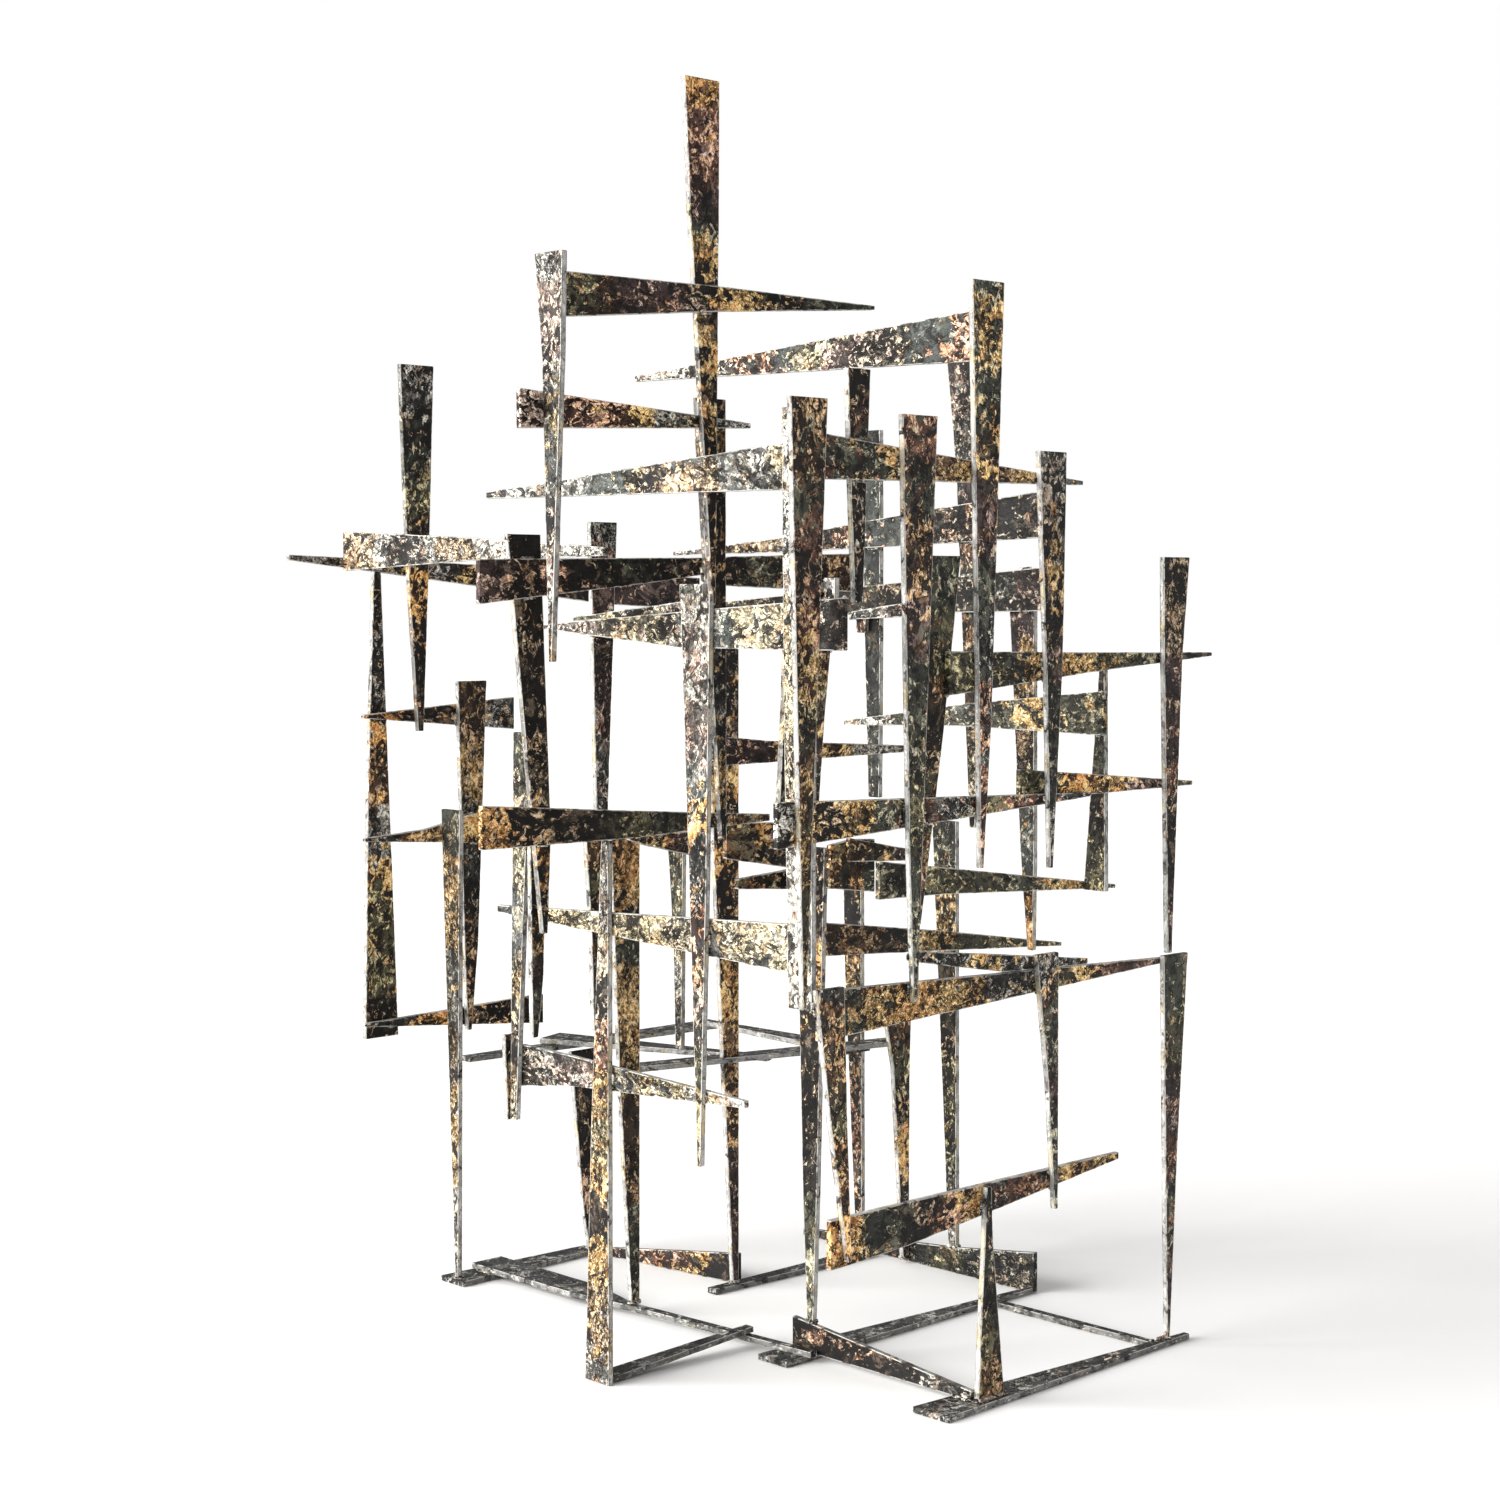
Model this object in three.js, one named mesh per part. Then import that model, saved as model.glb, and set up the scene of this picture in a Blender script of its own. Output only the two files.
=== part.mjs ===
// A standing lattice sculpture of welded, tapered steel flats.
// Millimetres, +Z up. Every flat is one straight bar that narrows to a blunt tip. The upright flats and the level flats lie in layers that touch face to face, and the welds are at the crossings.
import * as THREE from "three";

// ---- driving dimensions ----
const STOCK = 5; // thickness of the flat bar
const WELD_GAP = 0.3; // clear distance left between two flats that touch
const LAYER = STOCK + WELD_GAP; // pitch of two flats that lie face to face
const ON_FLOOR = 0; // underside of the lowest flats
const ON_FLATS = LAYER; // underside of what rests on the lowest flats
const ON_SECOND = 2 * LAYER; // underside of what rests on the second course

// Front faces of the layers, measured back from the front of the frontmost blade.
const FRONT = 0;
const FRONT_BARS = LAYER;
const BEHIND_FRONT = 2 * LAYER;
const TALL_BAR = 136.7; // the high bar, the tallest blade, the lower bar and the blade behind them, in turn
const TALL_BLADE = TALL_BAR + LAYER;
const TALL_LOW_BAR = TALL_BAR + 2 * LAYER;
const TALL_REAR = TALL_BAR + 3 * LAYER;
const LEFT_BARS = 246.5;
const LEFT_BLADE = LEFT_BARS + LAYER;
const REAR_SHORT = 344.3;
const REAR_LEG = 389;
const MIDDLE_LEG = 388;
const EDGE_BARS = 599.6; // the far left cluster
const EDGE_BLADES = EDGE_BARS + LAYER;
const EDGE_REAR_BARS = EDGE_BARS + 2 * LAYER;
const EDGE_LAST = EDGE_BARS + 3 * LAYER;
const REAR_BAR = 698.7;

// Left faces of the layers that run from front to back.
const HIGH_LEFT = -129.3;
const MAST_BLADES = 17.5;
const MAST_BARS = MAST_BLADES + LAYER;
const LEFT_CROSS = 79.9;
const LEFT_REAR_LEG = 118;
const TOP_CROSS = 182;
const CENTRE = 188;
const RIGHT_CROSS = 355.7;
const RIGHT_BLADES = RIGHT_CROSS + LAYER;
const RIGHT_EDGE = 481;

// Origin: the middle of the underside of the whole object's box.
const ORIGIN = [195, 345.85, 0];

// A flat is [name, stations, colour]. A station is [distance along the flat, middle of its width, width].
// ---- upright blades that face the front ----
const UPRIGHT_FRONT = {
  [FRONT]: [
    ["front_mast", [[339, -4, 3.5], [784, 0, 38]]],
    ["front_low_blade", [[144, 44, 4], [248, 32.5, 17.5], [352, 23, 29.5]]],
    ["front_blade_2", [[332, 116, 4.5], [443, 115.5, 14.5], [777, 118.5, 39]]],
    ["front_blade_3", [[429, 192, 3.5], [543, 195, 14.5], [884, 196, 37.5]]],
    ["front_blade_4", [[423, 277, 3.5], [589, 279, 20.5], [756, 275.5, 34]]],
    ["front_centre_leg", [[ON_FLATS, 206.5, 31.5], [131, 202.5, 10], [175, 202.5, 6]]],
    ["front_small_blade", [[144, 286, 4], [249, 281, 13], [354, 273, 27.5]]],
    ["right_leg", [[ON_FLATS, 438.5, 3.5], [172, 440, 17], [337, 443.5, 34]]],
    ["right_edge_blade", [[339, 435, 5.5], [590, 436, 25.5], [674, 439.5, 36]]],
  ],
  [BEHIND_FRONT]: [
    ["blade_behind_front_bar", [[636, 63.2, 9], [726, 62.6, 17.5], [809, 63, 24.5]]],
    ["blade_behind_front_2", [[389, 130.5, 5], [530, 144.5, 25.5], [672, 156.5, 41.5]]],
  ],
  [TALL_BLADE]: [["tallest_blade", [[634, 38.5, 3.5], [935, 29, 30], [1035, 26.5, 36.5]]]],
  [TALL_REAR]: [["blade_behind_tallest", [[449, 59, 5.5], [794, 45.5, 31]]]],
  [LEFT_BLADE]: [["left_long_blade", [[375, -41.5, 5], [454, -44, 17.5], [689, -61, 33]]]],
  [REAR_SHORT]: [["rear_short_blade", [[454.6, 97.1, 12.4], [703.8, 99.7, 29.9]]]],
  [REAR_LEG]: [["rear_middle_leg", [[ON_FLATS, 296.5, 7.5], [602, 279, 42.5]]]],
  [MIDDLE_LEG]: [["left_middle_leg", [[ON_SECOND, 171.7, 9.5], [219.5, 165.3, 24], [429.7, 161.3, 33.5]]]],
  [EDGE_BLADES]: [
    ["left_hanging_blade", [[517, 100, 6.5], [685, 98.5, 25.4], [853, 98.5, 38]]],
    ["left_inner_blade", [[232, 154.5, 5], [315, 157, 16.5], [562, 160, 34]]],
  ],
  [EDGE_LAST]: [["left_edge_blade", [[235, 61, 37], [449, 59.5, 24.5], [664, 60, 8]]]],
};

// ---- level bars that face the front ----
const LEVEL_FRONT = {
  [FRONT_BARS]: [
    ["front_bar_1", [[-5, 743.5, 36], [320, 732.5, 3.5]]],
    ["front_bar_2", [[158, 581.5, 34.5], [328, 587, 17], [498, 591.5, 3.5]]],
    ["front_bar_3", [[-27, 475, 34.5], [334, 479, 3.5]]],
    ["front_bar_4", [[17, 331.5, 38], [435, 332.5, 5]]],
    ["front_bar_5", [[29, 158, 38], [115, 160, 34], [374, 173.5, 6]]],
  ],
  [TALL_BAR]: [["top_bar", [[-124, 859.5, 34], [45, 869, 19], [213, 875.5, 3.5]]]],
  [TALL_LOW_BAR]: [["upper_left_bar", [[-148, 776.5, 29], [83, 774.5, 4]]]],
  [LEFT_BARS]: [
    ["left_middle_bar", [[-109, 652, 34.5], [65, 662, 20.5], [137, 666.6, 13]]],
    ["left_lower_bar", [[-108, 463, 34.5], [46, 456.5, 22.5], [201, 453, 6]]],
  ],
  [EDGE_BARS]: [["left_edge_bar_2", [[33, 420.5, 3.5], [99, 420, 12], [165, 424, 29.5]]]],
  [EDGE_REAR_BARS]: [
    ["left_edge_bar_1", [[40, 532, 3.5], [214, 530, 31]]],
    ["left_edge_bar_3", [[39, 249, 3.5], [248, 241.5, 28.5]]],
  ],
  [REAR_BAR]: [["rear_left_bar", [[20, 677.5, 5], [409, 650.5, 34], [538, 644.5, 34]]]],
};

// ---- upright blades that face the side ----
const UPRIGHT_SIDE = {
  [HIGH_LEFT]: [["left_high_blade", [[593, 138, 3.5], [815, 135, 21.5], [889, 138, 32]]]],
  [MAST_BLADES]: [
    ["pale_blade_behind_mast", [[334, 27, 25], [562, 29.5, 30], [780, 31, 32]]],
    ["pale_hanging_blade", [[198, 138, 3.5], [420, 139, 19.5], [643, 141.5, 33.5]]],
    ["left_front_leg", [[ON_FLOOR, 261, 30], [223, 256, 21], [444.8, 249, 8.5]]],
    ["left_pale_blade", [[201, 368.5, 8], [528, 354.5, 22.5]]],
  ],
  [LEFT_REAR_LEG]: [["left_rear_leg", [[ON_FLATS, 580.5, 4.5], [334, 584.5, 22], [444, 585.2, 28.4]]]],
  [CENTRE]: [["centre_leg", [[31.9, 185, 7], [133, 185.5, 16], [433, 185.5, 33.5]]]],
  [RIGHT_BLADES]: [["right_rear_blade", [[396, 23.5, 23], [580, 17.5, 6]]]],
};

// ---- level bars that face the side ----
const LEVEL_SIDE = {
  [MAST_BARS]: [
    ["upper_long_cross_bar", [[20, 738, 37.5], [407, 726, 6]]],
    ["middle_cross_bar", [[-12, 620.5, 39], [161, 615, 28.5], [335, 616, 3.5]]],
    ["lower_long_cross_bar", [[20, 377.5, 39], [395, 377, 6]]],
    ["low_cross_bar", [[92, 252.5, 6], [296, 251, 25], [364, 247, 35.5]]],
  ],
  [LEFT_CROSS]: [["left_cross_bar", [[322.2, 678.5, 7.5], [510.5, 683.1, 21], [698.4, 684, 37.6]]]],
  [TOP_CROSS]: [["top_cross_bar", [[LAYER, 841, 39], [398, 832.5, 5]]]],
  [RIGHT_CROSS]: [
    ["right_upper_cross_bar", [[69, 710.5, 40], [240, 699.7, 28], [399, 688.5, 13.5], [540, 683, 3.5]]],
    ["right_middle_cross_bar", [[68, 647.5, 38], [559, 625.5, 8.5]]],
    ["right_lower_cross_bar", [[11, 544.5, 37], [159, 538.5, 20.5], [309, 526.5, 4.5]]],
  ],
};

// ---- floor bars that stand on edge, and run from front to back ----
const FLOOR_EDGE = {
  [CENTRE]: [["floor_edge_bar_centre", [[LAYER, ON_FLATS + 4, 8], [206, ON_FLATS + 13.8, 27.6]]]],
  [RIGHT_EDGE]: [["floor_edge_bar_right", [[185, 19, 38], [286, 12.25, 24.5], [485, 3.5, 7]]]],
};

// ---- floor bars that lie flat, by the height of their underside ----
const FLAT_ALONG_X = {
  [ON_FLOOR]: [
    ["floor_bar_front", [[146, 11, 38], [466, 1.5, 6]]],
    ["floor_bar_centre", [[156, 198, 35], [480.7, 188.7, 6.4]]],
    ["floor_bar_left", [[115, 583.5, 34], [284, 583, 20]]],
    ["floor_bar_rear", [[266, 390, 12], [470, 386, 20]]],
  ],
};
const FLAT_ALONG_Y = {
  [ON_FLOOR]: [["floor_bar_right", [[8.4, 424.5, 8.5], [184.3, 424.5, 9.5]]]],
  [ON_FLATS]: [["floor_bar_long", [[174, 181.5, 9], [390, 166, 10], [455, 169, 34], [600, 168.5, 36]]]],
};

// The last two floor bars are not square to the rest.
const SLOPING = { from: [23.1, 259.5, 0], rise: 4.1, stations: [[0, 0, 21], [159.5, -8, 9.5]] }; // climbs over the long bar; rise in degrees
const SKEW = { from: [306.3, 396.7, 0], turn: 7.3, stations: [[0, 14.6, 29.2], [159.4, 4.5, 9]] }; // on edge; turn in degrees

const COLOURS = {
  front: 0x4c453d, // dark brown-grey
  level: 0x57524a,
  side: 0xb3ac95, // pale patina
  crossing: 0x9b937c,
  floor: 0x85827c,
};

// Outline of a flat in its own plane: up one side through every station and down the other.
function outline(stations) {
  const side = (sign) => stations.map(([at, middle, width]) => [at, middle + (sign * width) / 2]);
  return [...side(-1), ...side(1).reverse()];
}

// A flat extruded from the outline; `upright` swaps the axes, so the length runs up instead of across.
function flatBody(stations, upright) {
  const points = outline(stations).map(([along, across]) =>
    upright ? new THREE.Vector2(across, along) : new THREE.Vector2(along, across),
  );
  const shape = new THREE.Shape(THREE.ShapeUtils.isClockWise(points) ? points.reverse() : points);
  return new THREE.ExtrudeGeometry(shape, { depth: STOCK, bevelEnabled: false });
}

function basis(x, y, z, at) {
  return new THREE.Matrix4()
    .makeBasis(new THREE.Vector3(...x), new THREE.Vector3(...y), new THREE.Vector3(...z))
    .setPosition(...at);
}

// Placements of an outline plane. Each has a determinant of +1, so faces stay outward.
const facesFront = (front) => basis([1, 0, 0], [0, 0, 1], [0, -1, 0], [0, front + STOCK, 0]);
const facesSide = (left) => basis([0, 1, 0], [0, 0, 1], [1, 0, 0], [left, 0, 0]);
const liesAlongX = (under) => basis([1, 0, 0], [0, 1, 0], [0, 0, 1], [0, 0, under]);
const liesAlongY = (under) => basis([0, 1, 0], [-1, 0, 0], [0, 0, 1], [0, 0, under]);

const sculpture = new THREE.Group();
sculpture.name = "lattice_sculpture";

function add(name, geometry, matrix, colour) {
  const material = new THREE.MeshStandardMaterial({ color: colour, roughness: 0.55, metalness: 0.7 });
  const mesh = new THREE.Mesh(geometry.applyMatrix4(matrix), material);
  mesh.name = name;
  mesh.position.set(-ORIGIN[0], -ORIGIN[1], -ORIGIN[2]);
  sculpture.add(mesh);
}

function addLayers(layers, upright, place, colour) {
  for (const [plane, flats] of Object.entries(layers))
    for (const [name, stations] of flats) add(name, flatBody(stations, upright), place(Number(plane)), colour);
}

addLayers(UPRIGHT_FRONT, true, facesFront, COLOURS.front);
addLayers(LEVEL_FRONT, false, facesFront, COLOURS.level);
addLayers(UPRIGHT_SIDE, true, facesSide, COLOURS.side);
addLayers(LEVEL_SIDE, false, facesSide, COLOURS.crossing);
addLayers(FLOOR_EDGE, false, facesSide, COLOURS.floor);
addLayers(FLAT_ALONG_X, false, liesAlongX, COLOURS.floor);
// Along Y, the width is counted the other way in the outline's own frame.
const mirrored = Object.fromEntries(
  Object.entries(FLAT_ALONG_Y).map(([under, flats]) => [
    under,
    flats.map(([name, stations]) => [name, stations.map(([at, middle, width]) => [at, -middle, width])]),
  ]),
);
addLayers(mirrored, false, liesAlongY, COLOURS.floor);

// The sloping bar lifts as it runs to the right, with its left end on the floor.
{
  const slope = new THREE.Matrix4()
    .makeTranslation(...SLOPING.from)
    .multiply(new THREE.Matrix4().makeRotationY(-THREE.MathUtils.degToRad(SLOPING.rise)));
  add("floor_bar_sloping", flatBody(SLOPING.stations, false), slope, COLOURS.floor);
}
// The skew bar stands on edge, turned a little to the left of straight back.
{
  const skew = new THREE.Matrix4()
    .makeTranslation(...SKEW.from)
    .multiply(new THREE.Matrix4().makeRotationZ(THREE.MathUtils.degToRad(SKEW.turn)))
    .multiply(facesSide(0));
  add("floor_edge_bar_rear", flatBody(SKEW.stations, false), skew, COLOURS.floor);
}

export default sculpture;
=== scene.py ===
"""A standing lattice sculpture of welded, tapered steel flats with a flaked, gilded patina. Lengths in the tables are millimetres in the drawing frame; M() turns them into metres in the part's frame."""

import math

import bpy
import numpy as np
from mathutils import Matrix, Vector, noise


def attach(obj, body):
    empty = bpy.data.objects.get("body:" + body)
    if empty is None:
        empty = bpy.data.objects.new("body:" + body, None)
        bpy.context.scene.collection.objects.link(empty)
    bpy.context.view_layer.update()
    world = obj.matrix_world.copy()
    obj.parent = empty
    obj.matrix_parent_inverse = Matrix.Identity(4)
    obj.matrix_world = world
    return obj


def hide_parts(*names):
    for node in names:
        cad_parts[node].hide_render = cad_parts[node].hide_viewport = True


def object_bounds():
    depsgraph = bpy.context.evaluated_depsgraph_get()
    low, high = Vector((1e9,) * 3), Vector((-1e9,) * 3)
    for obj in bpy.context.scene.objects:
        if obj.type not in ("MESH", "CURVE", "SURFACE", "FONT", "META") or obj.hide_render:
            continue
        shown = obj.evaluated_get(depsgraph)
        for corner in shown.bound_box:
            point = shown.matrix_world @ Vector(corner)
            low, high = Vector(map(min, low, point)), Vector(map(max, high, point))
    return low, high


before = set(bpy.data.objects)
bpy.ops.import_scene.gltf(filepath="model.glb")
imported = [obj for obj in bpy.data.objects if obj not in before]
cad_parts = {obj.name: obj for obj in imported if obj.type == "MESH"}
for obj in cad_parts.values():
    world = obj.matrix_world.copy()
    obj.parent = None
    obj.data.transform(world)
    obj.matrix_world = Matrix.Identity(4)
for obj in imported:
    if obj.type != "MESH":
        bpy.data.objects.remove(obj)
cad_lo, cad_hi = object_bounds()

ORIGIN = (195.0, 345.85, 0.0)  # middle of the underside, in the drawing frame
STOCK = 5.0
LAYER = 5.3


def M(x, y, z):
    return Vector(((x - ORIGIN[0]) / 1000, (y - ORIGIN[1]) / 1000, (z - ORIGIN[2]) / 1000))


# ------------------------------------------------------------------ camera
scene = bpy.context.scene
cam_data = bpy.data.cameras.new("camera")
cam_data.lens = 61.047
cam_data.sensor_width = 36.0
cam_data.clip_start = 0.05
cam_data.clip_end = 60.0
cam = bpy.data.objects.new("camera", cam_data)
scene.collection.objects.link(cam)
forward = Vector((0.691901, 0.719588, -0.058869)).normalized()
right = Vector((0.720838, -0.693103, 0.0)).normalized()
up = right.cross(forward).normalized()
cam.matrix_world = Matrix(
    (
        (right.x, up.x, -forward.x, 0),
        (right.y, up.y, -forward.y, 0),
        (right.z, up.z, -forward.z, 0),
        (0, 0, 0, 1),
    )
)
cam.location = M(-1309.06, -1299.32, 638.0)
scene.camera = cam

# ------------------------------------------------------------------ light
scene.view_settings.view_transform = "Standard"
scene.view_settings.look = "None"
world = bpy.data.worlds.new("studio")
scene.world = world
world.use_nodes = True
world_nodes = world.node_tree.nodes
world_links = world.node_tree.links
soft = world_nodes["Background"]
soft.inputs["Color"].default_value = (1, 1, 1, 1)
soft.inputs["Strength"].default_value = 0.5
backdrop = world_nodes.new("ShaderNodeBackground")
backdrop.inputs["Color"].default_value = (1, 1, 1, 1)
backdrop.inputs["Strength"].default_value = 1.0
seen = world_nodes.new("ShaderNodeLightPath")
either = world_nodes.new("ShaderNodeMixShader")
world_links.new(seen.outputs["Is Camera Ray"], either.inputs[0])
world_links.new(soft.outputs[0], either.inputs[1])
world_links.new(backdrop.outputs[0], either.inputs[2])
world_links.new(either.outputs[0], world_nodes["World Output"].inputs["Surface"])

# A very large soft key from the left, low and a little behind the front faces.
KEY_ELEVATION, KEY_BEHIND = math.radians(16), math.radians(24)
key_data = bpy.data.lights.new("key", "SUN")
key_data.energy = 8.0
key_data.angle = math.radians(50)
key_data.color = (1.0, 0.985, 0.96)
key = bpy.data.objects.new("key", key_data)
scene.collection.objects.link(key)
towards = Vector(
    (
        -math.cos(KEY_ELEVATION) * math.cos(KEY_BEHIND),
        math.cos(KEY_ELEVATION) * math.sin(KEY_BEHIND),
        math.sin(KEY_ELEVATION),
    )
)
key.rotation_mode = "QUATERNION"
key.rotation_quaternion = (-towards).to_track_quat("-Z", "Y")

# ------------------------------------------------------------------ floor
floor_mesh = bpy.data.meshes.new("floor")
R = 30.0
floor_mesh.from_pydata([(-R, -R, 0), (R, -R, 0), (R, R, 0), (-R, R, 0)], [], [(0, 1, 2, 3)])
floor = bpy.data.objects.new("floor", floor_mesh)
floor.location.z = -0.0004
scene.collection.objects.link(floor)
floor_mat = bpy.data.materials.new("pale_floor")
floor_mat.use_nodes = True
floor_bsdf = floor_mat.node_tree.nodes["Principled BSDF"]
floor_bsdf.inputs["Base Color"].default_value = (0.94, 0.94, 0.94, 1)
floor_bsdf.inputs["Roughness"].default_value = 0.9
floor_bsdf.inputs["Specular IOR Level"].default_value = 0.1
floor_mesh.materials.append(floor_mat)


# ------------------------------------------------------------------ patina material
class Graph:
    """A short way to write shader nodes."""

    def __init__(self, material):
        material.use_nodes = True
        self.tree = material.node_tree
        self.nodes = self.tree.nodes
        self.bsdf = self.nodes["Principled BSDF"]
        self.at = 0

    def add(self, kind, **settings):
        n = self.nodes.new(kind)
        n.location = (-1800 + 180 * (self.at % 9), 900 - 260 * (self.at // 9))
        self.at += 1
        for k, v in settings.items():
            setattr(n, k, v)
        return n

    def plug(self, socket, value):
        if isinstance(value, bpy.types.NodeSocket):
            self.tree.links.new(value, socket)
        else:
            socket.default_value = value

    def noise(self, scale, detail=3.0, rough=0.55, distort=0.0, offset=(0, 0, 0), vector=None):
        if vector is None:
            vector = self.position()
        m = self.add("ShaderNodeVectorMath", operation="ADD")
        self.plug(m.inputs[0], vector)
        m.inputs[1].default_value = offset
        n = self.add("ShaderNodeTexNoise")
        self.plug(n.inputs["Vector"], m.outputs[0])
        n.inputs["Scale"].default_value = scale
        n.inputs["Detail"].default_value = detail
        n.inputs["Roughness"].default_value = rough
        n.inputs["Distortion"].default_value = distort
        return n.outputs["Fac"]

    def position(self):
        return self.add("ShaderNodeTexCoord").outputs["Object"]

    def attribute(self, name):
        n = self.add("ShaderNodeAttribute", attribute_name=name)
        return n

    def math(self, op, a, b=None, c=None, clamp=False):
        n = self.add("ShaderNodeMath", operation=op, use_clamp=clamp)
        self.plug(n.inputs[0], a)
        if b is not None:
            self.plug(n.inputs[1], b)
        if c is not None:
            self.plug(n.inputs[2], c)
        return n.outputs[0]

    def step(self, value, low, high):
        """0 below low, 1 above high, smooth between. low and high may be sockets."""
        n = self.add("ShaderNodeMapRange", interpolation_type="SMOOTHSTEP")
        self.plug(n.inputs["Value"], value)
        self.plug(n.inputs["From Min"], low)
        self.plug(n.inputs["From Max"], high)
        return n.outputs["Result"]

    def mix(self, factor, a, b, blend="MIX"):
        n = self.add("ShaderNodeMix", data_type="RGBA", blend_type=blend)
        self.plug(n.inputs[0], factor)
        self.plug(n.inputs[6], a)
        self.plug(n.inputs[7], b)
        return n.outputs[2]


def patina():
    """Flaking patina on steel. Point attributes hold the ground and flake colours, how much of the ground the flakes cover, how crazed it is, and `grain`, a coordinate in metres that runs along the flat and is drawn out that way."""
    material = bpy.data.materials.new("flaked_patina")
    g = Graph(material)
    ground = g.attribute("ground").outputs["Color"]
    leaf = g.attribute("flake").outputs["Color"]
    cover = g.attribute("cover").outputs["Fac"]
    crazed = g.attribute("crazed").outputs["Fac"]
    edge = g.attribute("edge").outputs["Fac"]
    rim = g.attribute("rim").outputs["Fac"]
    line = g.attribute("line").outputs["Fac"]
    grain = g.attribute("grain").outputs["Vector"]
    dark = (0.010, 0.008, 0.007, 1)

    def n(scale, detail=3.0, rough=0.55, distort=0.0, offset=(0, 0, 0)):
        return g.noise(scale, detail, rough, distort, offset, grain)

    def near(value, middle, half):
        """1 where value is within half of middle, falling to 0 just outside."""
        d = g.math("ABSOLUTE", g.math("SUBTRACT", value, middle))
        return g.step(d, half * 1.5, half * 0.5)

    def scaled(colour, k):
        return g.mix(1.0, colour, (k, k, k, 1), "MULTIPLY")

    def grey(colour):
        node = g.add("ShaderNodeRGBToBW")
        g.plug(node.inputs[0], colour)
        return node.outputs[0]

    # Oxide ground: smoky patches, thin places where the flake colour shows, dark mottling.
    smoke = g.step(n(26, 4, 0.62, 0.9), 0.50, 0.56)
    vivid = g.math("MULTIPLY", crazed, 1.6, clamp=True)
    base = g.mix(g.math("MULTIPLY", smoke, g.math("MULTIPLY", vivid, 0.65)), ground, scaled(ground, 0.28))
    thin = g.step(n(40, 5, 0.66, 1.0, (3, 1, 7)), 0.54, 0.59)
    base = g.mix(g.math("MULTIPLY", thin, 0.38), base, leaf)
    mottle = g.step(n(112, 5, 0.70, 1.1, (3, 3, 3)), 0.53, 0.57)
    marked = g.math("MULTIPLY", crazed, 2.0, clamp=True)
    base = g.mix(g.math("MULTIPLY", mottle, g.math("MULTIPLY", marked, 0.75)), base, dark)

    # Flakes: ragged islands with a dark foot, painted shade under their raised edges, in lighter and darker tones of
    # their colour.
    score = g.math("MULTIPLY", n(24, 3, 0.6, 0.9, (1, 8, 2)), 0.48)
    score = g.math("MULTIPLY_ADD", n(125, 5, 0.70, 1.2, (7, 3, 3)), 1.15, score)
    score = g.math("MULTIPLY_ADD", cover, 0.50, score)
    flakes = g.step(score, 1.068, 1.080)
    foot = g.step(score, 1.01, 1.06)
    base = g.mix(g.math("MULTIPLY", foot, g.math("MULTIPLY", marked, 0.8)), base, dark)
    tones = n(230, 5, 0.72, 1.0, (2, 6, 5))
    light = g.mix(g.math("MULTIPLY", g.step(tones, 0.48, 0.44), vivid), leaf, scaled(leaf, 0.46))
    bright = g.mix(0.40, scaled(leaf, 1.75), (0.90, 0.77, 0.58, 1))
    light = g.mix(g.math("MULTIPLY", g.step(tones, 0.52, 0.55), g.math("MULTIPLY", vivid, 0.85)), light, bright)
    rusty = g.step(n(48, 4, 0.6, 0.8, (2, 9, 9)), 0.54, 0.60)
    light = g.mix(g.math("MULTIPLY", rusty, 0.5), light, g.mix(1.0, leaf, (0.95, 0.62, 0.42, 1), "MULTIPLY"))
    colour = g.mix(flakes, base, light)

    # Soot in the low places.
    soot = g.step(n(70, 5, 0.70, 1.2, (6, 2, 8)), 0.56, 0.59)
    colour = g.mix(g.math("MULTIPLY", soot, g.math("MULTIPLY", marked, 0.80)), colour, dark)

    # Crazing: wandering dark lines, coarser and finer, and pits.
    lines = near(n(66, 5, 0.64, 1.7, (8, 1, 6)), 0.5, 0.017)
    fine_lines = near(n(165, 5, 0.66, 1.6, (1, 1, 9)), 0.5, 0.030)
    pits = g.step(n(290, 3, 0.6, 0.5, (9, 2, 4)), 0.60, 0.65)
    calm = g.step(n(17, 3, 0.5, 0.6, (4, 4, 9)), 0.52, 0.60)
    cut = g.math("MAXIMUM", g.math("MULTIPLY", lines, 0.95), g.math("MULTIPLY", fine_lines, 0.9))
    cut = g.math("MAXIMUM", cut, g.math("MULTIPLY", pits, 0.8))
    patchy = g.step(n(30, 3, 0.6, 0.6, (6, 6, 2)), 0.38, 0.50)
    patchy = g.math("MULTIPLY_ADD", patchy, 0.75, 0.25)
    cut = g.math("MULTIPLY", g.math("MULTIPLY", cut, patchy), crazed, clamp=True)
    cut = g.math("MULTIPLY", cut, g.math("MULTIPLY_ADD", calm, -0.7, 1.0), clamp=True)
    colour = g.mix(cut, colour, dark)
    # Fine brightness grain.
    tone = g.step(n(430, 3, 0.7, 0.3, (5, 8, 8)), 0.32, 0.64)
    colour = g.mix(tone, scaled(colour, 0.72), colour)

    # The light and the dark of the patina stand well apart, about the middle of its two colours.
    middle = grey(g.mix(0.41, ground, leaf))
    spread = g.math("POWER", g.math("DIVIDE", grey(colour), middle), 0.40)
    colour = g.mix(1.0, colour, g.math("MINIMUM", spread, 1.45), "MULTIPLY")
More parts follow.
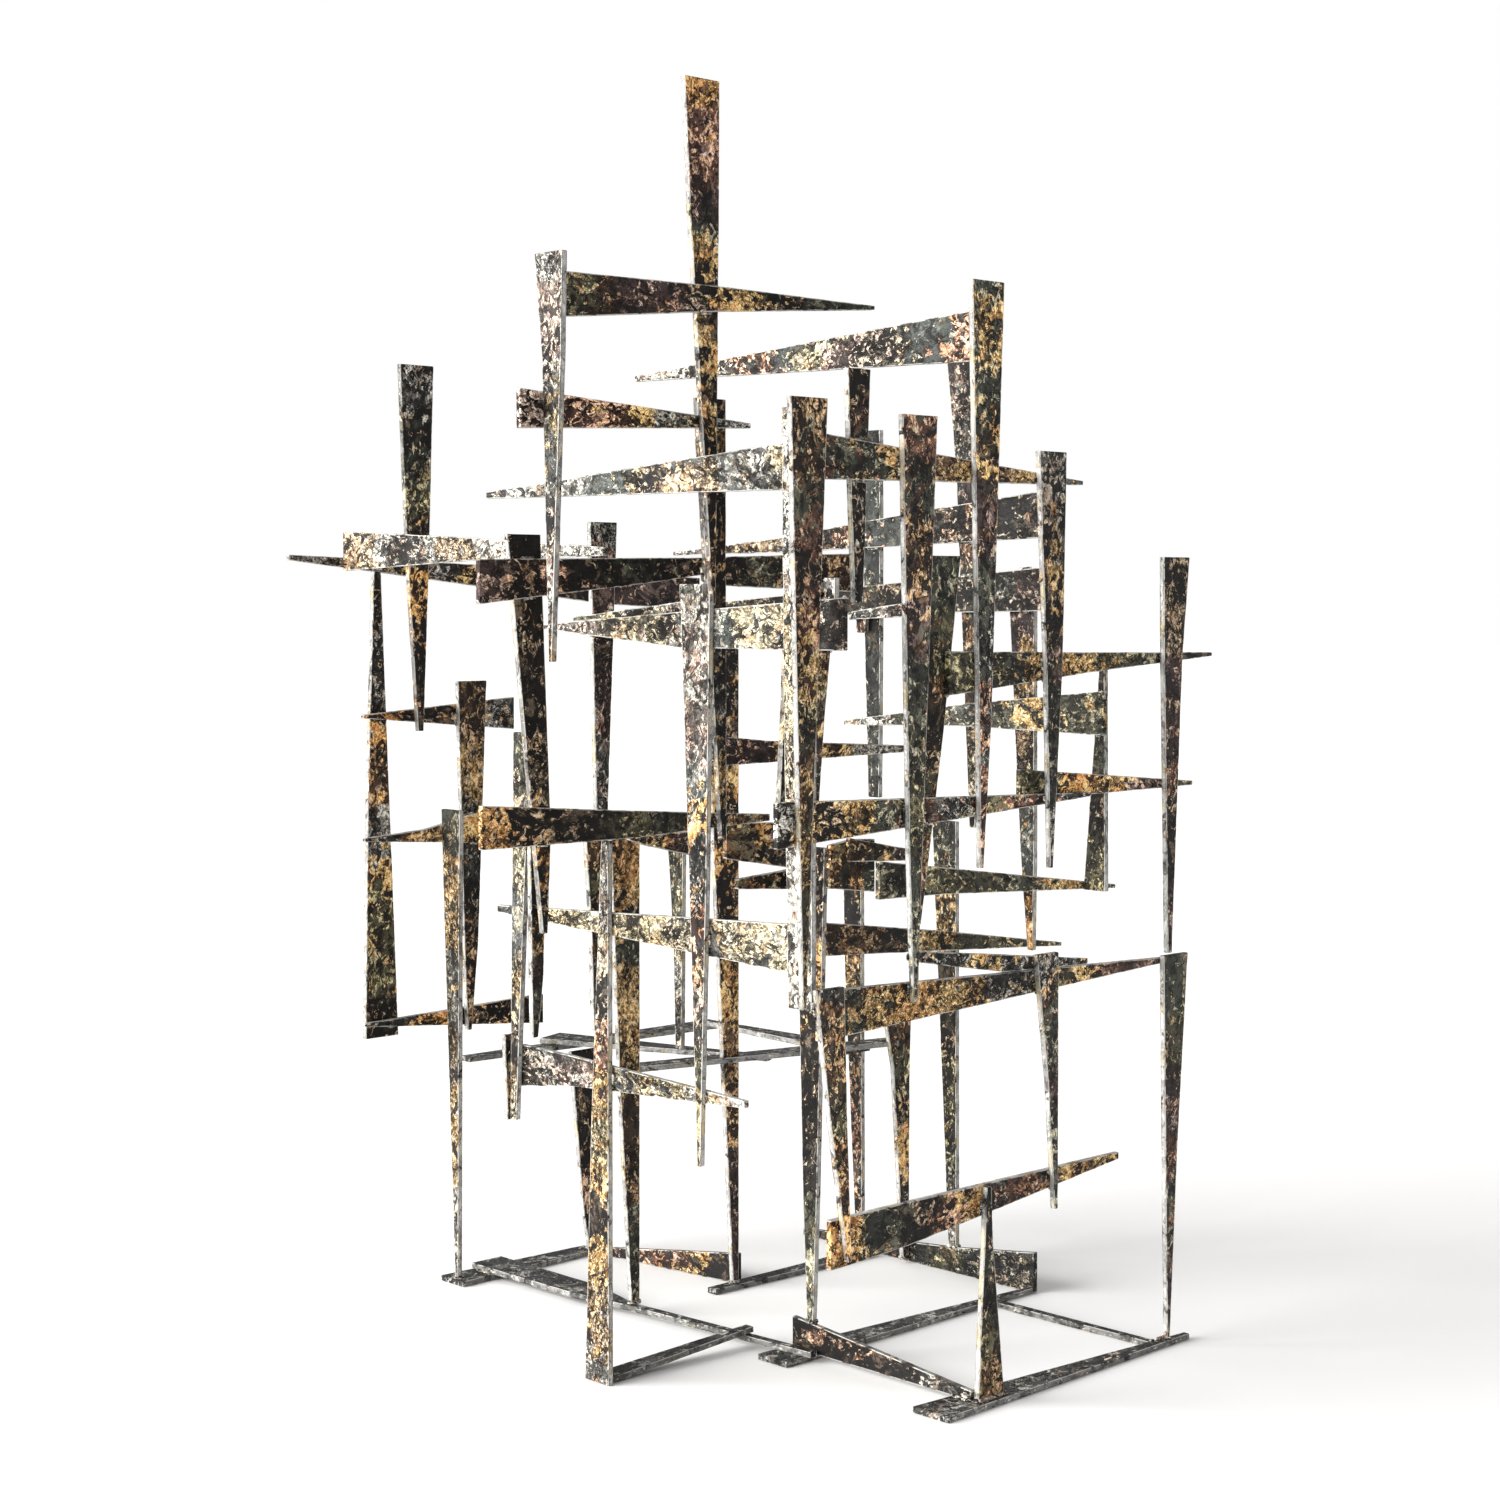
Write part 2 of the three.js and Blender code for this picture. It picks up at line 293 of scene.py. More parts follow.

    # The narrow sides are painted pale in long streaks, partly bare steel and partly a painted sheen where the light
    # catches them; the arrises get worn steel and a painted highlight.
    bare_and_sheen_mask = g.math("MULTIPLY", rim, g.step(n(80, 5, 0.68, 0.8, (2, 7, 3)), 0.40, 0.46))
    steel = g.mix(g.step(n(60, 5, 0.68, 0.8, (3, 4, 4)), 0.44, 0.56), (0.40, 0.395, 0.375, 1), (0.70, 0.69, 0.665, 1))
    steel = g.mix(g.step(n(34, 4, 0.6, 0.8, (9, 4, 1)), 0.55, 0.60), steel, (0.66, 0.56, 0.36, 1))
    steel = g.mix(g.math("MULTIPLY", cut, 0.8), steel, dark)
    # the narrow sides of flats that the lattice shades are brightened here: painted light
    steel = g.mix(1.0, steel, g.attribute("side_painted_light").outputs["Color"], "MULTIPLY")
    colour = g.mix(g.math("MULTIPLY", bare_and_sheen_mask, 0.92), colour, steel)
    # thin dark lines along the arrises of the narrow sides: painted shade where the bevel turns from the light, in
    # broken runs
    arris_painted_shade = g.math("MULTIPLY", g.step(line, 0.66, 0.90), g.step(n(52, 4, 0.65, 0.6, (7, 7, 5)), 0.38, 0.47))
    colour = g.mix(g.math("MULTIPLY", arris_painted_shade, 0.85), colour, (0.030, 0.026, 0.022, 1))
    # pale arrises: partly worn steel, partly a painted highlight along the edge
    wear_and_highlight = g.math("MULTIPLY", edge, g.step(n(85, 4, 0.65, 0.6, (8, 8, 3)), 0.42, 0.52))
    colour = g.mix(g.math("MULTIPLY", wear_and_highlight, 0.9), colour, (0.72, 0.71, 0.68, 1))

    g.plug(g.bsdf.inputs["Base Color"], colour)
    g.plug(g.bsdf.inputs["Metallic"], g.math("MULTIPLY", g.math("MAXIMUM", flakes, wear_and_highlight), 0.25, clamp=True))
    rough = g.math("MULTIPLY_ADD", tone, 0.20, 0.36)
    rough = g.math("MULTIPLY_ADD", cut, 0.30, rough, clamp=True)
    g.plug(g.bsdf.inputs["Roughness"], rough)
    g.bsdf.inputs["Specular IOR Level"].default_value = 0.2
    height = g.math("MULTIPLY", flakes, 0.5)
    height = g.math("MULTIPLY_ADD", tone, 0.2, height)
    height = g.math("SUBTRACT", height, g.math("MULTIPLY", cut, 0.6))
    bump = g.add("ShaderNodeBump")
    bump.inputs["Strength"].default_value = 0.7
    bump.inputs["Distance"].default_value = 0.0006
    g.plug(bump.inputs["Height"], height)
    g.plug(g.bsdf.inputs["Normal"], bump.outputs["Normal"])
    return material


PATINA = patina()

# Kinds of patina: ground colour, flake colour, share covered, crazing. The pale kinds (silver, white, cream, straw,
# tan, rose, mist, pearl, dove, blush, butter) go mainly on flats that face the key light, and their paleness is partly
# painted light.
KINDS = {
    "rust": ((0.165, 0.080, 0.058), (0.540, 0.300, 0.190), 0.44, 0.66),
    "brown": ((0.130, 0.072, 0.042), (0.590, 0.370, 0.190), 0.46, 0.68),
    "gold": ((0.105, 0.058, 0.028), (0.700, 0.450, 0.180), 0.62, 0.80),
    "amber": ((0.110, 0.048, 0.022), (0.740, 0.390, 0.130), 0.62, 0.75),
    "olive": ((0.132, 0.122, 0.074), (0.540, 0.470, 0.260), 0.40, 0.55),
    "green": ((0.094, 0.099, 0.076), (0.420, 0.400, 0.285), 0.38, 0.50),
    "teal": ((0.120, 0.136, 0.124), (0.330, 0.345, 0.305), 0.34, 0.40),
    "black": ((0.026, 0.021, 0.018), (0.380, 0.285, 0.195), 0.32, 0.60),
    "night": ((0.022, 0.017, 0.014), (0.560, 0.410, 0.260), 0.33, 0.60),
    "mauve": ((0.098, 0.062, 0.057), (0.450, 0.310, 0.260), 0.36, 0.60),
    "salmon": ((0.100, 0.050, 0.038), (0.760, 0.450, 0.300), 0.50, 0.7),
    "slate": ((0.082, 0.080, 0.073), (0.440, 0.425, 0.385), 0.44, 0.90),
    "silver": ((0.125, 0.120, 0.108), (0.440, 0.435, 0.405), 0.62, 0.80),
    "white": ((0.170, 0.164, 0.150), (0.520, 0.510, 0.480), 0.74, 0.80),
    "cream": ((0.070, 0.055, 0.038), (0.440, 0.378, 0.265), 0.62, 1.00),
    "straw": ((0.070, 0.055, 0.032), (0.450, 0.372, 0.212), 0.62, 0.90),
    "tan": ((0.070, 0.046, 0.030), (0.430, 0.315, 0.195), 0.60, 0.90),
    "rose": ((0.068, 0.044, 0.038), (0.420, 0.315, 0.268), 0.56, 1.00),
    "moss": ((0.125, 0.127, 0.086), (0.330, 0.315, 0.215), 0.42, 0.5),
    "umbra": ((0.036, 0.028, 0.023), (0.400, 0.330, 0.260), 0.36, 0.8),
    "mist": ((0.150, 0.158, 0.140), (0.420, 0.420, 0.375), 0.46, 0.6),
    "pearl": ((0.220, 0.208, 0.186), (0.450, 0.430, 0.385), 0.58, 0.55),
    "dove": ((0.160, 0.166, 0.156), (0.340, 0.340, 0.315), 0.46, 0.40),
    "blush": ((0.190, 0.148, 0.125), (0.450, 0.360, 0.305), 0.56, 0.50),
    "butter": ((0.160, 0.145, 0.105), (0.455, 0.400, 0.265), 0.60, 0.65),
    "ember": ((0.040, 0.026, 0.021), (0.560, 0.310, 0.200), 0.42, 0.60),
    "weld": ((0.080, 0.072, 0.064), (0.520, 0.500, 0.450), 0.56, 0.60),
    "floor": ((0.062, 0.063, 0.061), (0.250, 0.255, 0.250), 0.40, 0.5),
    "ash": ((0.058, 0.059, 0.056), (0.320, 0.310, 0.270), 0.38, 0.90),
    "pitch": ((0.030, 0.026, 0.024), (0.420, 0.300, 0.210), 0.24, 0.5),
}

# Patina of each flat: "end kind end kind ...", where each end is a share of its length, from its top down, or from its left as seen from the front corner.
FINISH = {
    "tallest_blade": ".05 amber .20 rust .27 mauve .31 green .37 gold .46 black .55 gold .62 night .70 gold .85 night 1 brown",
    "front_mast": ".14 brown .19 green .26 rust .34 black .42 rust .50 gold .58 olive .68 brown .80 gold 1 olive",
    "front_blade_2": ".08 rust .17 green .30 brown .42 mauve .62 green .78 olive 1 green",
    "front_blade_3": ".02 green .14 gold .25 green .33 gold .47 mauve .57 green .68 slate 1 salmon",
    "front_blade_4": ".16 slate .27 black .33 gold .45 night .55 mauve .75 green 1 slate",
    "right_edge_blade": ".10 black .25 tan .50 mauve .60 rust .80 night 1 mauve",
    "right_leg": ".15 green .30 olive .45 mauve .58 rust .75 green 1 mauve",
    "front_small_blade": ".08 slate .20 brown .45 green .62 mauve 1 green",
    "front_low_blade": ".06 slate .36 brown .56 olive .80 brown 1 amber",
    "front_centre_leg": ".28 black .42 green .58 night .80 olive 1 brown",
    "front_bar_1": ".10 rust .30 green .44 gold .54 brown .63 gold .76 brown .87 gold 1 teal",
    "front_bar_2": ".20 olive .30 green .42 gold .58 gold .72 olive .82 green 1 black",
    "front_bar_3": ".06 slate .12 gold .20 night .30 gold .40 green .52 rust .62 slate .72 olive .85 rust 1 slate",
    "front_bar_4": ".12 green .22 gold .33 amber .47 gold .62 slate .72 olive .80 gold .9 rust 1 mauve",
    "front_bar_5": ".07 amber .12 gold .26 green .36 black .44 salmon .52 gold .60 slate .80 rust 1 gold",
    "top_bar": ".03 slate .12 olive .20 brown .40 mauve .50 black .66 gold .80 night 1 green",
    "blade_behind_front_bar": ".15 night .25 rust .42 green .85 black 1 slate",
    "blade_behind_front_2": ".14 green .30 olive .42 brown .60 night .75 olive .86 brown 1 rust",
    "left_middle_bar": ".12 mauve .26 night .36 salmon .50 pitch .60 night .74 green .90 black 1 night",
    "left_lower_bar": ".10 amber .30 night .45 black .58 olive .70 green 1 brown",
    "left_long_blade": ".08 pitch .20 night .34 black .44 black .60 night .68 black .82 amber 1 black",
    "blade_behind_tallest": ".05 night .18 gold .45 night .56 black .80 slate .88 gold 1 black",
    "rear_short_blade": ".10 slate .35 mauve .50 black .75 mauve 1 slate",
    "rear_middle_leg": ".20 black .25 gold .32 night .36 amber .50 night .60 gold .80 brown 1 mauve",
    "left_middle_leg": ".08 amber .14 gold .20 black .28 green .40 gold .56 gold .80 brown 1 green",
    "left_rear_leg": ".10 moss .30 gold .45 mist .60 tan .80 gold 1 silver",
    "left_hanging_blade": ".12 slate .22 black .32 green .42 olive .55 black .70 amber 1 black",
    "left_inner_blade": ".20 brown .35 gold .55 slate .75 black 1 brown",
    "left_edge_blade": ".12 black .30 slate .37 amber .50 brown .62 silver .68 gold .90 olive 1 night",
    "left_edge_bar_2": ".30 slate .60 brown 1 gold",
    "left_edge_bar_1": ".25 amber .60 black .80 amber 1 slate",
    "left_edge_bar_3": ".28 slate .50 amber 1 night",
    "rear_left_bar": ".22 silver .40 slate .60 gold .80 night 1 mauve",
    "upper_left_bar": ".10 rose .18 blush .30 salmon .46 salmon .60 gold .70 mist .85 straw 1 silver",
    "pale_blade_behind_mast": ".30 white .45 butter .62 butter .72 umbra 1 pearl",
    "pale_hanging_blade": ".06 pearl .13 blush .20 pearl .28 blush .37 dove .43 gold .53 slate .62 salmon .70 tan .76 blush .87 moss 1 straw",
    "left_front_leg": ".16 silver .26 cream .34 umbra .42 rust .50 gold .60 straw .66 gold .74 pitch .82 gold .95 tan 1 silver",
    "left_pale_blade": ".08 moss .20 cream .30 dove .42 butter .58 dove .74 straw .86 umbra 1 cream",
    "upper_long_cross_bar": ".16 silver .30 dove .43 teal .47 straw .54 umbra .70 tan .80 dove .86 silver 1 butter",
    "lower_long_cross_bar": ".12 mist .28 straw .42 butter .54 straw .62 cream .68 dove .92 butter 1 cream",
    "middle_cross_bar": ".10 pearl .20 blush .40 butter .46 umbra .58 dove .64 teal .80 butter .90 slate 1 umbra",
    "low_cross_bar": ".08 umbra .16 silver .35 rose .50 mist .75 straw 1 white",
    "top_cross_bar": ".14 silver .24 umbra .30 slate .40 salmon .46 teal .56 butter .66 rose .76 umbra .80 cream .93 teal 1 salmon",
    "left_cross_bar": ".12 tan .18 silver .28 umbra .36 silver .50 tan .62 pearl 1 silver",
    "left_high_blade": ".07 silver .17 blush .26 rose .34 pearl .46 straw .54 dove .62 slate .76 umbra .84 rose .92 silver 1 gold",
    "right_upper_cross_bar": ".05 white .15 umbra .29 tan .33 silver .43 umbra .50 salmon .69 teal .78 umbra .86 salmon 1 umbra",
    "right_middle_cross_bar": ".30 cream .45 umbra .66 night .72 moss .82 umbra .90 mist 1 mauve",
    "right_lower_cross_bar": ".20 silver .40 moss .55 mist .66 moss .78 gold 1 moss",
    "right_rear_blade": ".30 umbra .55 moss .75 umbra 1 olive",
    "centre_leg": ".08 umbra .20 night .32 gold .45 umbra .60 night .75 umbra 1 moss",
    "floor_bar_front": ".5 floor .7 slate .85 pitch 1 floor",
    "floor_edge_bar_centre": ".10 pitch .18 ember .34 pitch .42 ember .70 pitch 1 slate",
    "floor_edge_bar_right": ".15 pitch .42 ember .56 ash .68 olive 1 ash",
    "floor_edge_bar_rear": ".15 mauve .6 rust .75 gold 1 pitch",
    "right_thin_bar": ".20 olive .45 amber .65 gold .80 mauve 1 olive",
    "inner_bar_3": ".20 green .50 olive .70 green .85 gold 1 slate",
    "inner_bar_5": ".30 slate .50 gold 1 slate",
    "inner_bar_4": ".30 brown .45 black .60 gold 1 olive",
    "middle_rear_bar": ".25 black .60 green 1 brown",
    "middle_thin_bar": ".30 mauve .42 brown .70 gold 1 silver",
    "rear_left_prop": ".14 pitch .45 night .60 night .80 salmon 1 black",
    "rear_blade_1": ".08 umbra .5 teal .62 night .9 teal 1 mist",
    "rear_blade_2": ".05 mauve .16 rose .26 slate .36 mauve .46 salmon .55 moss .70 brown .80 gold 1 cream",
    "rear_blade_3": ".18 mauve .30 gold .50 tan .60 umbra .80 teal 1 amber",
    "rear_inner_leg": ".20 night .40 gold .55 night .75 salmon .90 night 1 silver",
    "inner_thin_blade": ".40 moss .60 straw 1 silver",
    "rear_right_leg": ".14 green .30 gold .55 night .75 olive .90 green 1 silver",
    "right_small_bar": ".5 silver .7 rose 1 slate",
    "right_small_end": "1 rust",
    "mast_tab": ".42 white 1 pitch",
    "left_tab": "1 mist",
    "weld_beads": "1 weld",
}
# How bright each flat's patina is painted: values below 1 are painted shade on flats deep in the lattice, values above
# 1 are painted light on flats that should look brighter.
PAINTED_LIGHT_AND_SHADE = {
    "left_edge_blade": 1.44, "front_blade_3": 1.6, "front_bar_3": 1.55, "tallest_blade": 1.26, "left_high_blade": 0.76, "pale_hanging_blade": 0.88,
    "upper_long_cross_bar": 0.99, "lower_long_cross_bar": 0.88, "left_cross_bar": 0.9, "right_upper_cross_bar": 0.57, "right_middle_cross_bar": 0.31,
    "right_lower_cross_bar": 0.8, "rear_blade_1": 0.46, "rear_blade_2": 0.27, "rear_blade_3": 0.56, "rear_inner_leg": 0.41, "rear_right_leg": 0.5,
    "right_rear_blade": 0.7, "left_rear_leg": 0.4, "centre_leg": 1.19, "left_pale_blade": 0.94, "inner_thin_blade": 0.8,
    "pale_blade_behind_mast": 1.12, "left_front_leg": 0.75, "upper_left_bar": 2.2, "floor_edge_bar_centre": 0.67, "floor_edge_bar_right": 0.68,
    "top_bar": 1.49, "top_cross_bar": 1.05, "left_hanging_blade": 1.49, "blade_behind_front_bar": 0.93, "front_mast": 0.91,
    "blade_behind_tallest": 0.67, "front_blade_2": 1.35, "front_blade_4": 0.91, "rear_short_blade": 1.36, "left_long_blade": 1.12,
    "middle_rear_bar": 1.21, "rear_left_bar": 1.16, "blade_behind_front_2": 0.85, "left_middle_bar": 1.25, "right_edge_blade": 1.05,
    "middle_cross_bar": 1.17, "rear_middle_leg": 1.18, "front_bar_2": 1.13, "left_inner_blade": 0.67, "left_edge_bar_1": 1.31,
    "middle_thin_bar": 1.49, "right_thin_bar": 1.49, "left_lower_bar": 0.86, "left_edge_bar_2": 1.4, "inner_bar_1": 1.49, "inner_bar_8": 1.49,
    "left_middle_leg": 0.75, "inner_bar_7": 1.49, "inner_bar_6": 1.49, "inner_bar_3": 1.4, "left_dark_blade": 0.67, "inner_bar_4": 0.81,
    "inner_bar_5": 1.49, "front_small_blade": 1.49, "right_leg": 1.06, "front_low_blade": 1.49, "left_edge_bar_3": 1.49, "inner_right_leg": 1.49,
    "low_cross_bar": 0.78, "front_centre_leg": 0.91, "floor_edge_bar_rear": 0.67, "floor_bar_long": 1.3, "floor_bar_centre": 1.49,
    "floor_bar_front": 1.49,
}
# How much of the narrow sides is bare steel and painted sheen, where it is not the whole: (end of the share, how much).
BARE_AND_SHEEN = {
    "tallest_blade": ((0.36, 1.0), (0.44, 0.5), (1, 0.05)), "blade_behind_tallest": ((1, 0.12),), "floor": ((1, 0.15),), "middle_flat": ((1, 0.5),),
    "left_long_blade": ((0.4, 0.8), (1, 0.3)), "prop_behind_mast": ((1, 0.2),), "rear_middle_leg": ((0.3, 0.5), (1, 0.9)), "middle_thin_bar": ((1, 0.4),),
    "left_high_blade": ((0.6, 1.0), (1, 0.6)), "left_hanging_blade": ((1, 0.25),), "weld": ((1, 0.0),),
}
# Flats whose narrow sides are painted brighter than the rest: painted light on sides that the lattice shades from the
# key.
SIDE_PAINTED_LIGHT = {"front_blade_2": 1.4, "blade_behind_front_bar": 1.4, "front_mast": 1.15, "front_blade_3": 1.2, "front_blade_4": 1.15}
# Finishes for flats not listed: SHADED for flats facing away from the key light, LIT for flats facing it, whose paler
# kinds are painted light.
SHADED, LIT = ".2 brown .35 olive .5 night .65 gold .8 mauve 1 green", ".2 moss .35 straw .5 umbra .65 cream .8 mist 1 rose"


# ------------------------------------------------------------------ a tapered flat
def columns(width):
    """Distances across a face, in millimetres from one edge: close together by the edges."""
    bevel = min(0.55, width * 0.12)
    near = [bevel, min(1.0, width * 0.2), min(3.0, width * 0.33)]
    inner = 3
    far = [width - d for d in reversed(near)]
    gap = far[0] - near[-1]
    return near + [near[-1] + gap * (i + 1) / (inner + 1) for i in range(inner)] + far


def make_flat(name, at, along, across, through, stations, thick=STOCK, keep_low=True):
    """One tapered flat as a closed mesh with eased arrises. Positions in millimetres of the part's frame: `at` plus along * s + across * a + through * t."""
    at, along, across, through = map(Vector, (at, along, across, through))
    s_list = [st[0] for st in stations]
    s0, s1 = s_list[0], s_list[-1]
    length = s1 - s0
    n = max(6, int(round(length / 4.0)))
    cuts = {s0, s1, s0 + 0.5, s1 - 0.5, s0 + 1.8, s1 - 1.8}
    cuts |= {s0 + length * i / n for i in range(1, n)} | set(s_list[1:-1])
    cuts = sorted(cuts)
    kept = [cuts[0]]
    for c in cuts[1:]:
        if c - kept[-1] > 0.35:
            kept.append(c)
    if kept[-1] != s1:
        kept[-1] = s1
    seed = Vector((noise.random() * 0, 0, 0)) + Vector(tuple(ord(c) * 0.37 for c in (name[:1], name[-1:], name[len(name) // 2])))

    def edges_at(s):
        for (a0, lo0, hi0), (a1, lo1, hi1) in zip(stations, stations[1:]):
            if s <= a1 or (a1 == s1):
                if s <= a1 + 1e-9:
                    f = (s - a0) / (a1 - a0)
                    return lo0 + (lo1 - lo0) * f, hi0 + (hi1 - hi0) * f
        return stations[-1][1], stations[-1][2]

    verts, info = [], []
    rings = []
    cols_n = len(columns(30))
    for k, s in enumerate(kept):
        lo, hi = edges_at(s)
        # hand-cut edges wander a little, and only inwards of the bounding box
        wob_lo = noise.noise(seed + Vector((s * 0.045, 1.3, 0))) * 0.35 + noise.noise(seed + Vector((s * 0.21, 5.3, 0))) * 0.16
        wob_hi = noise.noise(seed + Vector((s * 0.045, 7.9, 0))) * 0.35 + noise.noise(seed + Vector((s * 0.21, 9.1, 0))) * 0.16
        lo, hi = lo + abs(wob_lo), hi - abs(wob_hi)
        inset = 0.0
        if k in (0, len(kept) - 1):
            inset = 0.45
        lo, hi = lo + inset, hi - inset
        if hi - lo < 1.2:
            mid = (hi + lo) / 2
            lo, hi = mid - 0.6, mid + 0.6
        w = hi - lo
        cols = columns(w)
        t0, t1 = inset * 0.9, thick - inset * 0.9
        bevel = cols[0]
        ring = []

        def put(a, t, edge, rim, line=0.0):
            ring.append(len(verts))
            p = at + along * s + across * a + through * t
            verts.append(p)
            info.append((edge, rim, (s - s0) / length, s, a, t, line))

        # under face, then the far side strip, the upper face and the near side strip
        for i, c in enumerate(cols):
            put(lo + c, t0, 0.7 if i in (0, cols_n - 1) else 0.0, 0)
        put(hi - bevel * 0.28, t0 + bevel * 0.28, 1.0, 0.6)
        for t, e in ((t0 + bevel, 0.25), ((t0 + t1) / 2, 0.15), (t1 - bevel, 0.25)):
            put(hi, t, e, 1.0, 1.0 if e == 0.25 else 0.0)
        put(hi - bevel * 0.28, t1 - bevel * 0.28, 1.0, 0.6)
        for i, c in enumerate(reversed(cols)):
            put(lo + c, t1, 0.7 if i in (0, cols_n - 1) else 0.0, 0)
        put(lo + bevel * 0.28, t1 - bevel * 0.28, 1.0, 0.6)
        for t, e in ((t1 - bevel, 0.25), ((t0 + t1) / 2, 0.15), (t0 + bevel, 0.25)):
            put(lo, t, e, 1.0, 1.0 if e == 0.25 else 0.0)
        put(lo + bevel * 0.28, t0 + bevel * 0.28, 1.0, 0.6)
        rings.append(ring)
    m = len(rings[0])
    faces = []
    for a, b in zip(rings, rings[1:]):
        for i in range(m):
            j = (i + 1) % m
            faces.append((a[i], a[j], b[j], b[i]))
    # End caps: quads between the two faces' columns, with the side strips folded in.
    for ring, flip in ((rings[0], True), (rings[-1], False)):
        under = ring[:cols_n]
        hi_side = ring[cols_n : cols_n + 5]
        upper = list(reversed(ring[cols_n + 5 : 2 * cols_n + 5]))
        lo_side = list(reversed(ring[2 * cols_n + 5 :]))
        caps = [(under[i], under[i + 1], upper[i + 1], upper[i]) for i in range(cols_n - 1)]
        caps.append((under[-1], *hi_side, upper[-1]))
        caps.append((upper[0], *reversed(lo_side), under[0]))
        for c in caps:
            faces.append(tuple(reversed(c)) if flip else c)
    if along.cross(across).dot(through) < 0:
        faces = [tuple(reversed(f)) for f in faces]

    out = []
    for p, (edge, rim, f, *_) in zip(verts, info):
        q = p * 0.001
        # a dent value is worked out here but not used
        d = noise.noise(p * 0.03 + seed) * 0.10 + noise.noise(p * 0.16 + seed) * 0.05
        d = -abs(d)
        out.append(q + through * 0)
    # displacement along the normals, computed once the mesh exists
    mesh = bpy.data.meshes.new(name)
    mesh.from_pydata(out, [], faces)
    mesh.validate()
    mesh.update()
    normals = np.zeros(len(mesh.vertices) * 3)
    mesh.vertices.foreach_get("normal", normals)
    normals = normals.reshape(-1, 3)
    for v, nrm, (edge, rim, *_) in zip(mesh.vertices, normals, info):
        p = v.co * 1000
        d = -abs(noise.noise(p * 0.028 + seed)) * 0.10 - abs(noise.noise(p * 0.17 + seed)) * 0.07
        chip = noise.noise(p * 0.09 + seed * 1.7)
        if edge > 0.8 and chip > 0.28:
            d -= (chip - 0.28) * 1.1
        v.co = v.co + Vector(nrm) * (d * 0.001)
    mesh.update()
    return mesh, info


def finish_of(name, lit):
    """[(end, kind), ...] for a flat, worked through in order."""
    if name in FINISH:
        words = FINISH[name].split()
    elif name.startswith(("floor_bar", "middle_flat")):
        words = "1 floor".split()
    else:
        words = (LIT if lit else SHADED).split()
    return [(float(a), KINDS[b]) for a, b in zip(words[::2], words[1::2])]


def dress(name, mesh, info, along, through):
    length = max(i[3] for i in info) - min(i[3] for i in info)
    lit = abs(through.x) > 0.9
    # Shares run from the top down, or from the left: +X for the front lattice, -Y for the side lattice.
    backwards = along.z > 0.9 or along.y > 0.9
    zones = finish_of(name, lit)
    painted_light_and_shade = PAINTED_LIGHT_AND_SHADE.get(name, 1.0)
    seed = Vector((sum(ord(c) * (k + 3) for k, c in enumerate(name)) % 97, 0.5, 0.5))
    deep = sorted(((i[3], (v.co - cam.location).dot(forward)) for v, i in zip(mesh.vertices, info)))
    first_depth, last_depth = deep[0][1], deep[-1][1]
    if backwards:
        first_depth, last_depth = last_depth, first_depth
    bare_and_sheen_share = next((k for start, k in BARE_AND_SHEEN.items() if name.startswith(start)), ((1, 1.0),))
    ground, flake, cover, crazed, grain, rims = [], [], [], [], [], []
    for v, (edge, rim, f, s, a, t, line) in zip(mesh.vertices, info):
        p = v.co * 1000
        if backwards:
            f = 1 - f
        if first_depth:  # shares count as they look from the front corner
            f = f * last_depth / (first_depth + f * (last_depth - first_depth))
        # share of the narrow side painted pale: bare steel and painted sheen
        rims.append(rim * next((k for end, k in bare_and_sheen_share if f <= end), bare_and_sheen_share[-1][1]))
        # ragged borders, and islands of the neighbouring kinds
        f += (noise.noise(p * 0.06 + seed) * 15 + noise.noise(p * 0.14 + seed) * 10 + noise.noise(p * 0.31 + seed) * 6) / length
        z = next((i for i, (end, _) in enumerate(zones) if f <= end), len(zones) - 1)
        hop = noise.noise(p * 0.12 + seed * 2)
        if abs(hop) > 0.40:
            z = min(max(z + (1 if hop > 0 else -1), 0), len(zones) - 1)
        kind = zones[z][1]
        # ground and flake colours scaled by the flat's painted light and shade
        ground.extend((*(c * painted_light_and_shade for c in kind[0]), 1.0))
        flake.extend((*(c * painted_light_and_shade for c in kind[1]), 1.0))
        cover.append(kind[2])
        crazed.append(kind[3])
        grain.extend((s * 0.00078 + seed.x * 0.13, a * 0.001, t * 0.001))
    mesh.color_attributes.new("ground", "FLOAT_COLOR", "POINT").data.foreach_set("color", ground)
    mesh.color_attributes.new("flake", "FLOAT_COLOR", "POINT").data.foreach_set("color", flake)
    # how much this flat's narrow sides are brightened as painted light
    side_painted_light = SIDE_PAINTED_LIGHT.get(name, 1.0)
    mesh.color_attributes.new("side_painted_light", "FLOAT_COLOR", "POINT").data.foreach_set("color", [side_painted_light, side_painted_light, side_painted_light, 1.0] * len(mesh.vertices))
    mesh.attributes.new("grain", "FLOAT_VECTOR", "POINT").data.foreach_set("vector", grain)
    for key, values in (
        ("cover", cover),
        ("crazed", crazed),
        ("edge", [i[0] for i in info]),
        ("rim", rims),
        ("line", [i[6] for i in info]),
    ):
        mesh.attributes.new(key, "FLOAT", "POINT").data.foreach_set("value", values)
    mesh.materials.append(PATINA)
    for p in mesh.polygons:
        p.use_smooth = True
    ob = bpy.data.objects.new(name, mesh)
    scene.collection.objects.link(ob)
    even = ob.modifiers.new("face_normals", "WEIGHTED_NORMAL")
    even.weight = 60
    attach(ob, "root")
    return ob


# ------------------------------------------------------------------ the flats that the frame holds
def stations_of(points, axis):
    """(distance, low, high) rows from the outline's corner points, measured along `axis`."""
    rows = {}
    for p in points:
        rows.setdefault(round(p[axis], 2), []).append(p[1 - axis])
    if any(max(v) - min(v) < 1e-6 for v in rows.values()):
        return None
    return [(s, min(v), max(v)) for s, v in sorted(rows.items())]


